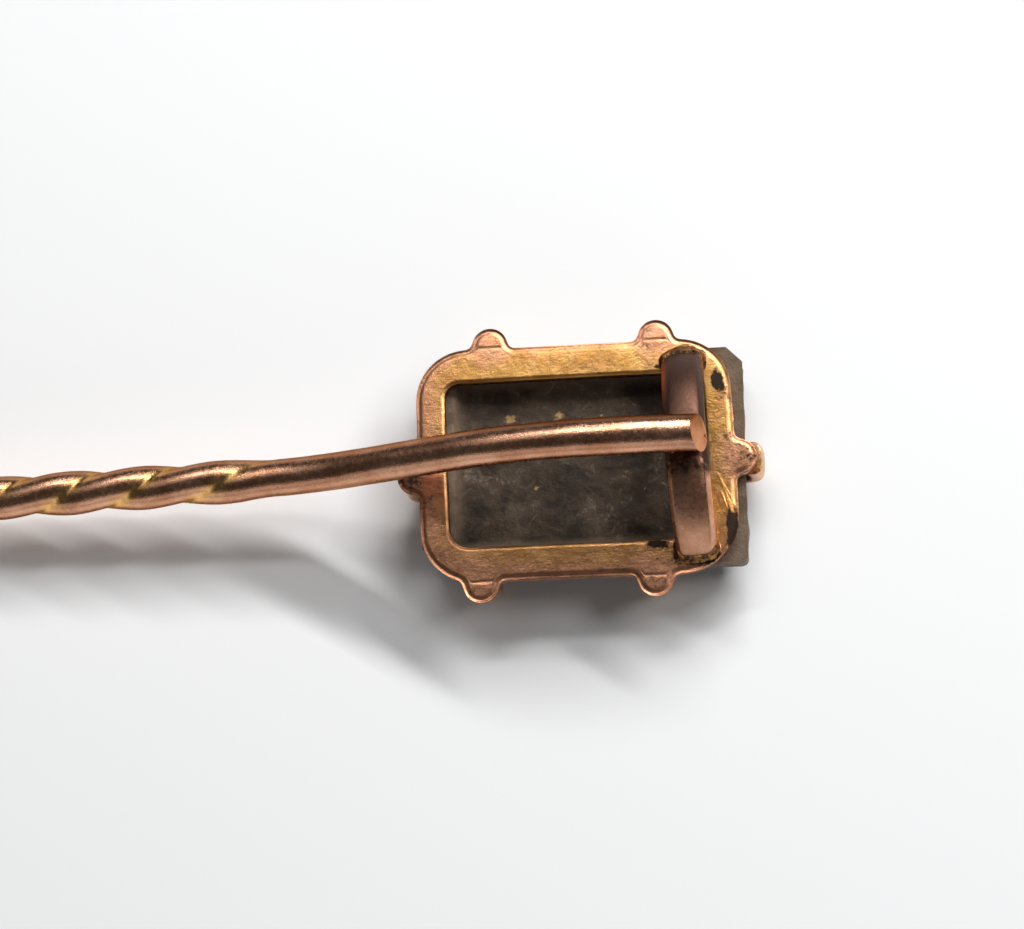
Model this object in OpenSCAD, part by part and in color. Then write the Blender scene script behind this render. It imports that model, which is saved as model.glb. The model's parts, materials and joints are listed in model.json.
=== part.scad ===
// Stick pin for a cravat, lying on its front: a stone slab held by claws under an open
// back plate, with a bridge strap that carries the pin. Millimetres. The table, which is
// the stone's flat front, is at z = 0 and its centre is the origin. The pin runs to -X.

/* [Back plate] */
// Length of the plate without its lobes
plate_l = 9.9; // [9.6:0.05:10.2]
// Width of the plate without its lobes
plate_w = 7.45; // [7.3:0.05:7.6]
// Thickness of the plate
plate_t = 0.5; // [0.4:0.05:0.7]
// Lean of the plate's short sides, in degrees
plate_lean = 1.8; // [0:0.1:2]
// Radii of the plate's corners, counterclockwise from the upper right
plate_corners = [1.6, 1.7, 1.6, 1.9]; // [1.4:0.1:2]
// Length of the open window
window_l = 8.1; // [7.9:0.05:8.2]
// Width of the open window
window_w = 5.3; // [5:0.05:5.4]
// Radii of the window's corners, in the same order
window_corners = [0.5, 0.5, 0.65, 0.5]; // [0.3:0.05:1]
// Radius of the round lobes over the claws
lobe_r = 0.56; // [0.5:0.02:0.6]
// Places of the two lobes along the upper edge
top_lobe_x = [-2.65, 2.58]; // [-3.2:0.01:3.2]
// Places of the two lobes along the lower edge
bottom_lobe_x = [-3.0, 2.4]; // [-3.2:0.01:3.2]
// Heights of the lobes on the left and right sides
end_lobe_y = [-0.31, -0.13]; // [-0.5:0.01:0.5]

/* [Stone] */
// Length of the stone
stone_l = 10.2; // [10:0.05:10.4]
// Width of the stone
stone_w = 6.9; // [6.7:0.05:7]
// Thickness of the stone
stone_t = 1.75; // [1.5:0.05:2.2]
// Height of the bevel above the table
bevel_h = 0.75; // [0.5:0.05:0.9]
// Width of the bevel round the table
bevel_w = 0.9; // [0.7:0.05:1.2]
// Widths of the cuts on three corners, counterclockwise from the upper right
stone_chamfers = [0.5, 0.65, 0.8]; // [0.3:0.05:1.2]

/* [Claws] */
// Width of each claw
claw_w = 1.05; // [0.8:0.05:1.1]
// Thickness of the claws on the long edges
claw_t = 0.7; // [0.6:0.05:0.75]
// Thickness of the claws at the two ends
end_claw_t = 0.6; // [0.55:0.01:0.64]

/* [Strap] */
// Place of the middle of the strap along the head
strap_x = 3.38; // [3.2:0.02:3.5]
// Lean of the strap in plan, in degrees
strap_lean = 2.7; // [0:0.1:3]
// Width of the strap
strap_w = 1.3; // [1.1:0.05:1.4]
// Thickness of the strap
strap_t = 0.7; // [0.5:0.05:0.8]
// Height of the strap's crown above the plate
strap_rise = 1.62; // [1.4:0.02:1.8]
// Distance between the outer ends of the strap's feet
strap_span = 6.6; // [6.4:0.02:6.8]

/* [Pin] */
// Diameter of the wire behind the head
wire_d = 1.18; // [1:0.02:1.3]
// Diameter over the crests of the twisted stretch
twist_d = 1.42; // [1.3:0.02:1.5]
// Length of the twisted stretch
twist_l = 12; // [8:0.5:16]
// Lead of the left-handed twist
twist_lead = 4.7; // [4:0.1:6]
// Diameter of the plain shank that goes through the cloth
shank_d = 0.9; // [0.7:0.02:1]
// Length of the plain shank
shank_l = 20; // [16:1:26]
// Length of the taper to the point
taper_l = 12.5; // [10:0.5:16]
// Lean of the pin to one side, in degrees
pin_yaw = 0.8; // [0:0.1:1.5]

/* [Hidden] */
eps = 0.01;
back_z = stone_t + plate_t;
// The plate and the strap are soldered on by eye, a little off the stone's centre
plate_middle = [-0.17, -0.08];
strap_y = -0.09;
pin_y = -0.03;
// The lobes stand this far out from the plate's edges
lobe_out = 0.1;
lobe_centres = concat(
    [for (x = top_lobe_x) [x, plate_w / 2 + lobe_out]],
    [for (x = bottom_lobe_x) [x, -plate_w / 2 - lobe_out]],
    [for (i = [0, 1]) [(2 * i - 1) * (plate_l / 2 + lobe_out), end_lobe_y[i]]]);
// Claws: a rounded shoulder under the lobe, and a tip that lies on the bevel
claw_shoulder = 0.22;
claw_reach = 0.5 * bevel_w;
claw_tip_z = 0.5 * bevel_h;
claw_tip_t = [0.1, 0.16];
claw_curl_gap = 0.12;
// Arch of the strap: a ring about an axis along the head
strap_r = (pow(strap_span / 2, 2) + pow(strap_rise, 2)) / (2 * strap_rise);
strap_axis_z = back_z + strap_rise - strap_r;
// Solder: low puddles round the feet, and a fillet under the wire
puddle_h = 0.16;
puddle_r = 0.9;
puddle_inset = 0.3;
arm_w = (plate_w - window_w) / 2 - 0.04;
puddle_ball_r = (puddle_r * puddle_r + puddle_h * puddle_h) / (2 * puddle_h);
solder_gap = 0.03;
fillet_w = 0.9;
fillet_h = 0.32;
fillet_sink = 0.1;
// The cut end of the wire, a slanting face that looks up
cut_x = 3.87;
cut_slant = 18;
cut_size = 3;
cut_spare = 0.14;
// Bends of the wire behind the head, each with a radius and an angle
end_x = cut_x + wire_d / 2 * tan(cut_slant) + cut_spare;
end_z = back_z + strap_rise + solder_gap + wire_d / 2;
crest_r = 24;
crest_angle = 9;
fall_r = 12;
fall_angle = 21;
slope_l = 3.6;
heel_r = 10;
// The heel's angle is the one that brings the point down to z = 0
tip_d = 0.06;
neck_l = 0.8;
straight_l = twist_l + neck_l + shank_l + taper_l;
heel_z = end_z + crest_r * (1 - cos(crest_angle)) - fall_r * (1 - cos(fall_angle))
    - slope_l * sin(fall_angle);
heel_drop = heel_z + heel_r * cos(fall_angle) - tip_d / 2;
heel_reach = sqrt(heel_r * heel_r + straight_l * straight_l);
pin_slope = atan2(straight_l, heel_r) - acos(heel_drop / heel_reach);
// Section of the twisted stretch: a round wire with two narrow grooves
groove_depth = 0.21;
groove_half_angle = 34;
core_d = twist_d - 2 * groove_depth - 0.1;
core_lap = 0.2;
twist_points = 28;
twist_slices = 46;
gold = [0.80, 0.55, 0.38];
rose = [0.74, 0.46, 0.36];
ochre = [0.78, 0.58, 0.28];

// Flat outlines

// A rectangle whose short sides lean, with corners of their own radii
module leaning_rect(l, w, radii) {
    signs = [[1, 1], [-1, 1], [-1, -1], [1, -1]];
    centres = [for (i = [0:3])
        let (y = signs[i].y * (w / 2 - radii[i]))
        [signs[i].x * (l / 2 - radii[i] / cos(plate_lean)) - y * tan(plate_lean), y]];
    on_side = [for (i = [0:3])
        centres[i] + radii[i] * signs[i].x * [cos(plate_lean), sin(plate_lean)]];
    on_edge = [for (i = [0:3]) centres[i] + [0, signs[i].y * radii[i]]];
    polygon([on_side[0], on_edge[0], on_edge[1], on_side[1],
             on_side[2], on_edge[2], on_edge[3], on_side[3]]);
    for (i = [0:3])
        translate(centres[i])
            circle(r = radii[i], $fn = 64);
}

module plate_face() {
    translate(plate_middle)
        difference() {
            union() {
                leaning_rect(plate_l, plate_w, plate_corners);
                for (centre = lobe_centres)
                    translate(centre)
                        circle(r = lobe_r, $fn = 40);
            }
            leaning_rect(window_l, window_w, window_corners);
        }
}

module back_plate() {
    color(ochre)
        translate([0, 0, stone_t])
            linear_extrude(plate_t)
                plate_face();
}

// Stone

// Cuts the bevel along the edge that lies on the +X side of a block of half length reach
module bevel_cut(reach) {
    translate([reach - bevel_w, 0, 0])
        rotate([0, -atan2(bevel_h, bevel_w), 0])
            translate([0, -stone_l, -stone_t])
                cube([stone_l, 2 * stone_l, stone_t]);
}

// Cuts a corner of the stone; corner holds the signs of its X and Y
module corner_cut(corner, cut_w) {
    translate([corner.x * stone_l / 2, corner.y * stone_w / 2, -eps])
        rotate([0, 0, 45 * corner.x * corner.y])
            cube([cut_w * sqrt(2), stone_l, 3 * stone_t], center = true);
}

module stone() {
    color([0.34, 0.28, 0.24])
        difference() {
            translate([-stone_l / 2, -stone_w / 2, 0])
                cube([stone_l, stone_w, stone_t]);
            for (turn = [0, 180])
                rotate([0, 0, turn])
                    bevel_cut(stone_l / 2);
            for (turn = [90, 270])
                rotate([0, 0, turn])
                    bevel_cut(stone_w / 2);
            corner_cut([1, 1], stone_chamfers[0]);
            corner_cut([-1, 1], stone_chamfers[1]);
            corner_cut([-1, -1], stone_chamfers[2]);
        }
}

// Claws

// Side view of a claw: down the stone's wall from its shoulder, then curled over the bevel
module claw_profile(t) {
    curl_r = t + claw_curl_gap;
    curl_z = curl_r + claw_curl_gap;
    polygon(concat(
        [[0, stone_t], [t - claw_shoulder, stone_t], [t, stone_t - claw_shoulder]],
        [for (a = [0:10:90]) [t - curl_r + curl_r * cos(a), curl_z - curl_r * sin(a)]],
        [[claw_tip_t.x - claw_reach, claw_tip_z - claw_tip_t.y],
         [-claw_reach, claw_tip_z], [0, bevel_h]]));
}

// A claw at wall distance reach, turned to point along angle, at offset along the wall
module claw(reach, angle, offset, t) {
    color(rose)
        rotate([0, 0, angle])
            translate([reach, offset + claw_w / 2, 0])
                rotate([90, 0, 0])
                    linear_extrude(claw_w)
                        claw_profile(t);
}

module claw_on_top(i) {
    claw(stone_w / 2, 90, -plate_middle.x - top_lobe_x[i], claw_t);
}

module claw_on_bottom(i) {
    claw(stone_w / 2, 270, plate_middle.x + bottom_lobe_x[i], claw_t);
}

module claw_top_left() {
    claw_on_top(0);
}

module claw_top_right() {
    claw_on_top(1);
}

module claw_bottom_left() {
    claw_on_bottom(0);
}

module claw_bottom_right() {
    claw_on_bottom(1);
}

module claw_left() {
    claw(stone_l / 2, 180, -plate_middle.y - end_lobe_y[0], end_claw_t);
}

module claw_right() {
    claw(stone_l / 2, 0, plate_middle.y + end_lobe_y[1], end_claw_t);
}

// Strap and solder

module at_strap() {
    translate([strap_x, strap_y, 0])
        rotate([0, 0, strap_lean])
            children();
}

module strap_ring(extra = 0) {
    at_strap()
        translate([-strap_w / 2 - extra, 0, strap_axis_z])
            rotate([0, 90, 0])
                difference() {
                    cylinder(r = strap_r, h = strap_w + 2 * extra, $fn = 120);
                    translate([0, 0, -eps])
                        cylinder(r = strap_r - strap_t, h = strap_w + 2 * extra + 2 * eps, $fn = 120);
                }
}

module strap() {
    color(rose)
        intersection() {
            strap_ring();
            translate([strap_x, strap_y, back_z + strap_rise])
                cube([2 * strap_w, 2 * strap_span, 2 * strap_rise], center = true);
        }
}

// A low cap of solder on the plate, kept to the face that the foot stands on
module strap_solder(side) {
    color(gold)
        difference() {
            intersection() {
                at_strap()
                    translate([0, side * (strap_span / 2 - puddle_inset),
                               back_z + puddle_h - puddle_ball_r])
                        sphere(r = puddle_ball_r, $fn = 120);
                translate([plate_middle.x, plate_middle.y + side * plate_w / 2, back_z])
                    cube([2 * plate_l, 2 * arm_w, 2 * puddle_h], center = true);
                translate([0, 0, back_z])
                    linear_extrude(puddle_h)
                        plate_face();
            }
            strap_ring(eps);
        }
}

module strap_solder_top() {
    strap_solder(1);
}

module strap_solder_bottom() {
    strap_solder(-1);
}

module stem_solder() {
    color(gold)
        difference() {
            at_strap()
                translate([-strap_w / 2, -fillet_w / 2, back_z + strap_rise - fillet_sink])
                    cube([strap_w, fillet_w, fillet_h]);
            strap_ring(eps);
            wire_head();
            cut_end();
        }
}

// Pin

// An arc of wire in the XZ plane that starts at the origin heading -X, with bend +1 up, -1 down
module wire_arc(r, angle, bend) {
    translate([0, 0, bend * r])
        rotate([90, 0, 0])
            rotate([0, 0, bend > 0 ? 270 - angle : 90])
                rotate_extrude(angle = angle, $fn = 96)
                    translate([r, 0])
                        circle(d = wire_d, $fn = 32);
}

module along_wire(l, d1, d2) {
    rotate([0, -90, 0])
        cylinder(d1 = d1, d2 = d2, h = l, $fn = 48);
}

// A short core inside the wire that makes two stretches one solid where they meet
module wire_core() {
    translate([core_lap, 0, 0])
        along_wire(2 * core_lap, core_d, core_d);
}

// Moves what follows to the end of such an arc, and turns it to head on along the wire
module after_arc(r, angle, bend) {
    translate([-r * sin(angle), 0, bend * r * (1 - cos(angle))])
        rotate([0, bend * angle, 0]) {
            wire_core();
            children();
        }
}

// Places what follows at x along the pin, at the height of the wire's end over the strap
module at_pin(x) {
    translate([strap_x, pin_y, 0])
        rotate([0, 0, pin_yaw])
            translate([x - strap_x, 0, end_z])
                children();
}

module at_wire_start() {
    at_pin(end_x)
        rotate([0, crest_angle, 0])
            children();
}

// What the slanting cut takes off the wire's end
module cut_end() {
    at_pin(cut_x)
        rotate([0, -cut_slant, 0])
            translate([0, -cut_size / 2, -cut_size / 2])
                cube(cut_size);
}

module wire_head() {
    at_wire_start()
        wire_arc(crest_r, crest_angle, -1);
}

module cut_wire_head() {
    difference() {
        wire_head();
        cut_end();
    }
}

function groove(a) =
    abs(a) < groove_half_angle ? groove_depth * pow(cos(a * 90 / groove_half_angle), 2) : 0;

function twist_radius(a) = twist_d / 2 - groove(a - 90) - groove(a - 270);

module twist_section() {
    polygon([for (i = [0:twist_points - 1])
        let (a = i * 360 / twist_points)
        [twist_radius(a) * cos(a), twist_radius(a) * sin(a)]]);
}

module twisted_stretch() {
    rotate([0, -90, 0])
        linear_extrude(height = twist_l, twist = 360 * twist_l / twist_lead,
                       slices = twist_slices)
            twist_section();
}

module straight_run() {
    twisted_stretch();
    translate([core_lap, 0, 0])
        along_wire(twist_l + 2 * core_lap, core_d, core_d);
    translate([-twist_l, 0, 0])
        along_wire(neck_l, wire_d, shank_d);
    translate([-twist_l - neck_l, 0, 0])
        along_wire(shank_l, shank_d, shank_d);
    translate([-twist_l - neck_l - shank_l, 0, 0])
        along_wire(taper_l, shank_d, tip_d);
}

module pin_stem() {
    color(rose) {
        cut_wire_head();
        at_wire_start()
            after_arc(crest_r, crest_angle, -1) {
                wire_arc(fall_r, fall_angle, -1);
                after_arc(fall_r, fall_angle, -1) {
                    along_wire(slope_l, wire_d, wire_d);
                    translate([-slope_l, 0, 0]) {
                        wire_core();
                        wire_arc(heel_r, fall_angle - pin_slope, 1);
                        after_arc(heel_r, fall_angle - pin_slope, 1)
                            straight_run();
                    }
                }
            }
    }
}

back_plate();
claw_top_left();
claw_top_right();
claw_bottom_left();
claw_bottom_right();
claw_left();
claw_right();
stone();
strap();
strap_solder_top();
strap_solder_bottom();
stem_solder();
pin_stem();
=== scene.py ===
"""Looks of a gold stick pin that lies on its face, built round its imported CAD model.

Lengths in this script are millimetres; build_mesh() turns them into metres.
"""
import json
import math

import bmesh
import bpy
import numpy as np
from mathutils import Matrix, Vector, noise


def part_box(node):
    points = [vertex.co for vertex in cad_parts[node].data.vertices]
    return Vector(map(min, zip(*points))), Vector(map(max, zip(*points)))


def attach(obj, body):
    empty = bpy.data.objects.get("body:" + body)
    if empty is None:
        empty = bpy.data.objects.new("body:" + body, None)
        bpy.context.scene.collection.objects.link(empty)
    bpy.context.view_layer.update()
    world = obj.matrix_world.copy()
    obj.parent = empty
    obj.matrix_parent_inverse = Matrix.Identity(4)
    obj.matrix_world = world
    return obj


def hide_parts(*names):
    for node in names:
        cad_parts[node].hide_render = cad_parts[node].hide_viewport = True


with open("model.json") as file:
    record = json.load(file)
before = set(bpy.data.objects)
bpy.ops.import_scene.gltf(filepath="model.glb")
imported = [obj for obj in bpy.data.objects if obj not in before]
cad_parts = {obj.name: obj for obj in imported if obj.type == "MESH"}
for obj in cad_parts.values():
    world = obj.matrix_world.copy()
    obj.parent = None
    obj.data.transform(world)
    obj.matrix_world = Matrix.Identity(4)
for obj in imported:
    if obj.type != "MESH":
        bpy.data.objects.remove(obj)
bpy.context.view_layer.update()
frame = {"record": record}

MM = 0.001
BODY = "root"


def box_mm(node):
    low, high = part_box(node)
    return np.array(low) / MM, np.array(high) / MM


plate_low, plate_high = box_mm("back_plate")
stone_low, stone_high = box_mm("stone")
strap_low, strap_high = box_mm("strap")
pin_low, pin_high = box_mm("pin_stem")
back_z = plate_high[2]
plate_middle = (plate_low + plate_high)[:2] / 2
strap_middle = (strap_low + strap_high)[:2] / 2
STRAP_LEAN = math.radians(2.7)
mounts = {m["name"]: m for m in frame["record"]["mounts"]}


# ---------------------------------------------------------------- mesh helpers

def build_mesh(name, verts, faces, material, attributes=None, sharp_angle=50):
    """A closed piece from points in millimetres, with one float per point in each attribute."""
    mesh = bpy.data.meshes.new(name)
    mesh.from_pydata([tuple(v) for v in np.asarray(verts) * MM], [], faces)
    bm = bmesh.new()
    bm.from_mesh(mesh)
    bmesh.ops.recalc_face_normals(bm, faces=bm.faces)
    bm.to_mesh(mesh)
    bm.free()
    for key, values in (attributes or {}).items():
        layer = mesh.attributes.new(key, "FLOAT", "POINT")
        layer.data.foreach_set("value", np.asarray(values, np.float32))
    mesh.polygons.foreach_set("use_smooth", [True] * len(mesh.polygons))
    mesh.set_sharp_from_angle(angle=math.radians(sharp_angle))
    piece = bpy.data.objects.new(name, mesh)
    bpy.context.collection.objects.link(piece)
    mesh.materials.append(material)
    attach(piece, BODY)
    return piece


def ring_faces(rings, around):
    """Quads between each ring of points and the next, where each ring is closed."""
    faces = []
    for i in range(rings - 1):
        for j in range(around):
            a = i * around + j
            b = i * around + (j + 1) % around
            faces.append((a, b, b + around, a + around))
    return faces


def tube_faces(rings, around):
    """A closed tube: its side and a flat face over each end."""
    last = (rings - 1) * around
    caps = [tuple(range(around)), tuple(range(last, last + around))]
    return ring_faces(rings, around) + caps


def smooth_step(x, low, high):
    t = np.clip((np.asarray(x, float) - low) / (high - low), 0, 1)
    return t * t * (3 - 2 * t)


def ripple(points, size, seed, waves=14):
    """Smooth noise from -1 to 1 with features of about size: a sum of seeded plane waves."""
    rng = np.random.default_rng(seed)
    directions = rng.normal(size=(waves, 3))
    directions /= np.linalg.norm(directions, axis=1)[:, None]
    pace = rng.uniform(0.6, 1.4, waves) * math.pi / size
    shift = rng.uniform(0, 2 * math.pi, waves)
    phase = np.asarray(points) @ (directions * pace[:, None]).T + shift
    return np.sin(phase).sum(1) / math.sqrt(waves * 2)


def turned(points, pivot, angle):
    """Points turned in plan about pivot."""
    turn = np.array([[math.cos(angle), math.sin(angle)], [-math.sin(angle), math.cos(angle)]])
    out = np.array(points, float)
    out[:, :2] = (out[:, :2] - pivot) @ turn + pivot
    return out


def near_line(points, start, end, width):
    """1 on the line from start to end in plan, falling to 0 at width from it."""
    start, end = np.array(start, float), np.array(end, float)
    along = end - start
    t = np.clip(((points[:, :2] - start) @ along) / (along @ along), 0, 1)
    gap = np.linalg.norm(points[:, :2] - (start + t[:, None] * along), axis=1)
    return np.clip(1 - gap / width, 0, 1)


# ---------------------------------------------------------------- materials

class Nodes:
    """A material's node tree with short calls for the nodes that this scene uses."""

    def __init__(self, name):
        self.material = bpy.data.materials.new(name)
        self.material.use_nodes = True
        self.tree = self.material.node_tree
        self.shader = self.tree.nodes["Principled BSDF"]
        self.coords = self.add("ShaderNodeTexCoord").outputs["Object"]

    def add(self, kind, **settings):
        node = self.tree.nodes.new(kind)
        for key, value in settings.items():
            setattr(node, key, value)
        return node

    def link(self, source, target):
        self.tree.links.new(source, target)

    def put(self, value, target):
        """Link a node's output, or set a constant."""
        if isinstance(value, bpy.types.NodeSocket):
            self.link(value, target)
        else:
            target.default_value = value

    def scaled(self, per_mm, stretch=(1, 1, 1), turn=0):
        """Object coordinates in features per millimetre."""
        node = self.add("ShaderNodeMapping")
        self.link(self.coords, node.inputs["Vector"])
        node.inputs["Scale"].default_value = [per_mm / MM * s for s in stretch]
        node.inputs["Rotation"].default_value = (0, 0, math.radians(turn))
        return node.outputs["Vector"]

    def noise(self, per_mm, detail=4, rough=0.55, stretch=(1, 1, 1), turn=0, distort=0):
        node = self.add("ShaderNodeTexNoise")
        self.link(self.scaled(per_mm, stretch, turn), node.inputs["Vector"])
        node.inputs["Scale"].default_value = 1
        node.inputs["Detail"].default_value = detail
        node.inputs["Roughness"].default_value = rough
        node.inputs["Distortion"].default_value = distort
        return node.outputs["Fac"]

    def cell_edges(self, per_mm):
        """Distance to the nearest edge of a pattern of cells."""
        node = self.add("ShaderNodeTexVoronoi", feature="DISTANCE_TO_EDGE")
        self.link(self.scaled(per_mm), node.inputs["Vector"])
        node.inputs["Scale"].default_value = 1
        return node.outputs["Distance"]

    def attribute(self, name):
        return self.add("ShaderNodeAttribute", attribute_name=name).outputs["Fac"]

    def remap(self, value, low, high, to_low=0.0, to_high=1.0):
        """value taken from low..high to to_low..to_high, and held inside it."""
        node = self.add("ShaderNodeMapRange")
        self.put(value, node.inputs["Value"])
        node.inputs["From Min"].default_value = low
        node.inputs["From Max"].default_value = high
        node.inputs["To Min"].default_value = to_low
        node.inputs["To Max"].default_value = to_high
        return node.outputs["Result"]

    def math(self, operation, a, b=0.0, clamp=False):
        node = self.add("ShaderNodeMath", operation=operation, use_clamp=clamp)
        self.put(a, node.inputs[0])
        self.put(b, node.inputs[1])
        return node.outputs[0]

    def mix(self, factor, a, b):
        node = self.add("ShaderNodeMix", data_type="RGBA")
        self.put(factor, node.inputs["Factor"])
        for value, socket in ((a, node.inputs[6]), (b, node.inputs[7])):
            self.put(value if isinstance(value, bpy.types.NodeSocket) else (*value, 1), socket)
        return node.outputs[2]

    def patches(self, per_mm, reach, detail=5, rough=0.7):
        """Noise from -reach to reach, which breaks up the edge of an attribute."""
        return self.remap(self.noise(per_mm, detail, rough), 0.3, 0.7, -reach, reach)

    def bump(self, height, strength, distance_mm):
        """Bumps stack: a second call builds on the first."""
        node = self.add("ShaderNodeBump")
        node.inputs["Strength"].default_value = strength
        node.inputs["Distance"].default_value = distance_mm * MM
        self.link(height, node.inputs["Height"])
        if self.shader.inputs["Normal"].is_linked:
            self.link(self.shader.inputs["Normal"].links[0].from_socket, node.inputs["Normal"])
        self.link(node.outputs["Normal"], self.shader.inputs["Normal"])

    def finish(self, color, roughness, metallic):
        self.put(color, self.shader.inputs["Base Color"])
        self.put(roughness, self.shader.inputs["Roughness"])
        self.put(metallic, self.shader.inputs["Metallic"])
        return self.material


# Metals
OCHRE = (0.45, 0.225, 0.058)
PALE_GOLD = (0.62, 0.35, 0.115)
YELLOW = (0.98, 0.53, 0.16)
# A painted reflection in the wire's grooves
GROOVE_REFLECTION = (1.00, 0.56, 0.20)
PINK = (0.82, 0.44, 0.28)
COPPER = (0.60, 0.285, 0.165)
# A painted reflection on the strap
RED_REFLECTION = (0.75, 0.17, 0.06)
EDGE_TINT = (0.45, 0.32, 0.25, 1)
# What dulls them: real stains and oxide; the two darkest also paint shade on the plate, wire and strap
BROWN = (0.17, 0.085, 0.052)
TARNISH_AND_SHADE = (0.075, 0.038, 0.026)
OXIDE_AND_SHADE = (0.045, 0.030, 0.022)
# Stone
STONE_DARK = (0.026, 0.017, 0.010)
STONE_BROWN = (0.088, 0.060, 0.038)
STONE_PALE = (0.24, 0.185, 0.14)
STONE_SIDE = (0.26, 0.18, 0.12)
STONE_STREAK = (0.060, 0.042, 0.024)
STONE_FLECK = (0.36, 0.23, 0.09)
STONE_SHINE = 0.22


def plate_material():
    n = Nodes("plate_gold")
    blotch = n.noise(0.9, detail=5, rough=0.65)
    grain = n.noise(14, detail=3, rough=0.7)
    color = n.mix(n.remap(blotch, 0.42, 0.62), OCHRE, PALE_GOLD)
    rub = n.math("ADD", n.attribute("rub"), n.patches(1.7, 0.25, detail=4, rough=0.55), clamp=True)
    color = n.mix(rub, color, COPPER)
    stain = n.remap(n.noise(1.6, detail=6, rough=0.75, distort=0.8), 0.50, 0.72)
    color = n.mix(n.math("MULTIPLY", stain, 0.65), color, BROWN)
    speck = n.remap(n.noise(6, detail=5, rough=0.75), 0.58, 0.70)
    color = n.mix(n.math("MULTIPLY", speck, 0.55), color, BROWN)
    # Painted shade and shadow on the lobes, arms and window wall, with darker patches beside the strap
    dark = n.remap(n.math("ADD", n.attribute("tarnish_and_shade"), n.patches(3.5, 0.35)), 0.42, 0.72)
    color = n.mix(dark, color, OXIDE_AND_SHADE)
    color = n.mix(n.attribute("scratch"), color, YELLOW)
    n.bump(n.noise(2.2, detail=4, rough=0.6), 0.5, 0.05)
    n.bump(grain, 0.5, 0.016)
    n.bump(n.noise(26, detail=2, stretch=(0.12, 1, 1), turn=24), 0.3, 0.010)
    roughness = n.math("ADD", n.remap(grain, 0.3, 0.7, 0.30, 0.46), n.math("MULTIPLY", dark, 0.3))
    return n.finish(color, roughness, 1.0)


def wire_material():
    n = Nodes("wire_gold")
    blotch = n.noise(1.1, detail=4, rough=0.6)
    color = n.mix(n.remap(blotch, 0.38, 0.64), PINK, COPPER)
    # Painted reflection: the grooves tinted yellow, as gold facing gold reflects
    color = n.mix(n.attribute("groove"), color, GROOVE_REFLECTION)
    speck = n.remap(n.noise(9, detail=4, rough=0.7), 0.66, 0.74)
    color = n.mix(n.math("MULTIPLY", speck, 0.5), color, BROWN)
    # Painted shade along the wire's upper back side, with tarnish beside the solder
    color = n.mix(n.attribute("tarnish_and_shade"), color, TARNISH_AND_SHADE)
    n.shader.inputs["Specular Tint"].default_value = EDGE_TINT
    n.bump(n.noise(11, detail=5, rough=0.75), 0.45, 0.016)
    n.bump(n.noise(22, detail=2, stretch=(0.25, 1, 1), turn=-35), 0.22, 0.010)
    roughness = n.remap(n.noise(7, detail=4), 0.3, 0.7, 0.16, 0.32)
    return n.finish(color, roughness, 1.0)


def strap_material():
    n = Nodes("strap_gold")
    blotch = n.noise(1.3, detail=5, rough=0.65)
    color = n.mix(n.remap(blotch, 0.35, 0.65), PINK, COPPER)
    # Painted shade on the upper half and the wire's painted shadow below it, and darker feet
    dark = n.remap(n.math("ADD", n.attribute("tarnish_and_shade"), n.patches(4, 0.25)), 0.2, 0.75)
    color = n.mix(dark, color, TARNISH_AND_SHADE)
    # Painted reflection: a red sheen along the left edge of the upper half
    color = n.mix(n.attribute("painted_reflection"), color, RED_REFLECTION)
    n.bump(n.noise(10, detail=5, rough=0.7), 0.35, 0.02)
    n.bump(n.noise(24, detail=2, stretch=(1, 0.2, 1), turn=15), 0.2, 0.010)
    roughness = n.math("ADD", n.remap(n.noise(8), 0.3, 0.7, 0.24, 0.38), n.math("MULTIPLY", dark, 0.12))
    return n.finish(color, roughness, 1.0)


def claw_material():
    n = Nodes("claw_gold")
    color = n.mix(n.remap(n.noise(2.0, detail=4), 0.35, 0.65), PINK, PALE_GOLD)
    color = n.mix(n.remap(n.noise(5, detail=5, rough=0.7), 0.60, 0.75), color, BROWN)
    n.bump(n.noise(9, detail=4, rough=0.65), 0.3, 0.02)
    return n.finish(color, n.remap(n.noise(7), 0.3, 0.7, 0.2, 0.36), 1.0)


def solder_material():
    n = Nodes("solder")
    color = n.mix(n.remap(n.noise(3.0, detail=4), 0.35, 0.65), OCHRE, BROWN)
    color = n.mix(n.remap(n.noise(9, detail=4, rough=0.7), 0.60, 0.68), color, YELLOW)
    color = n.mix(n.remap(n.noise(5.5, detail=5, rough=0.7), 0.46, 0.58), color, OXIDE_AND_SHADE)
    n.bump(n.noise(8, detail=5, rough=0.7), 0.5, 0.03)
    return n.finish(color, n.remap(n.noise(9), 0.3, 0.7, 0.22, 0.45), 1.0)


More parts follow.
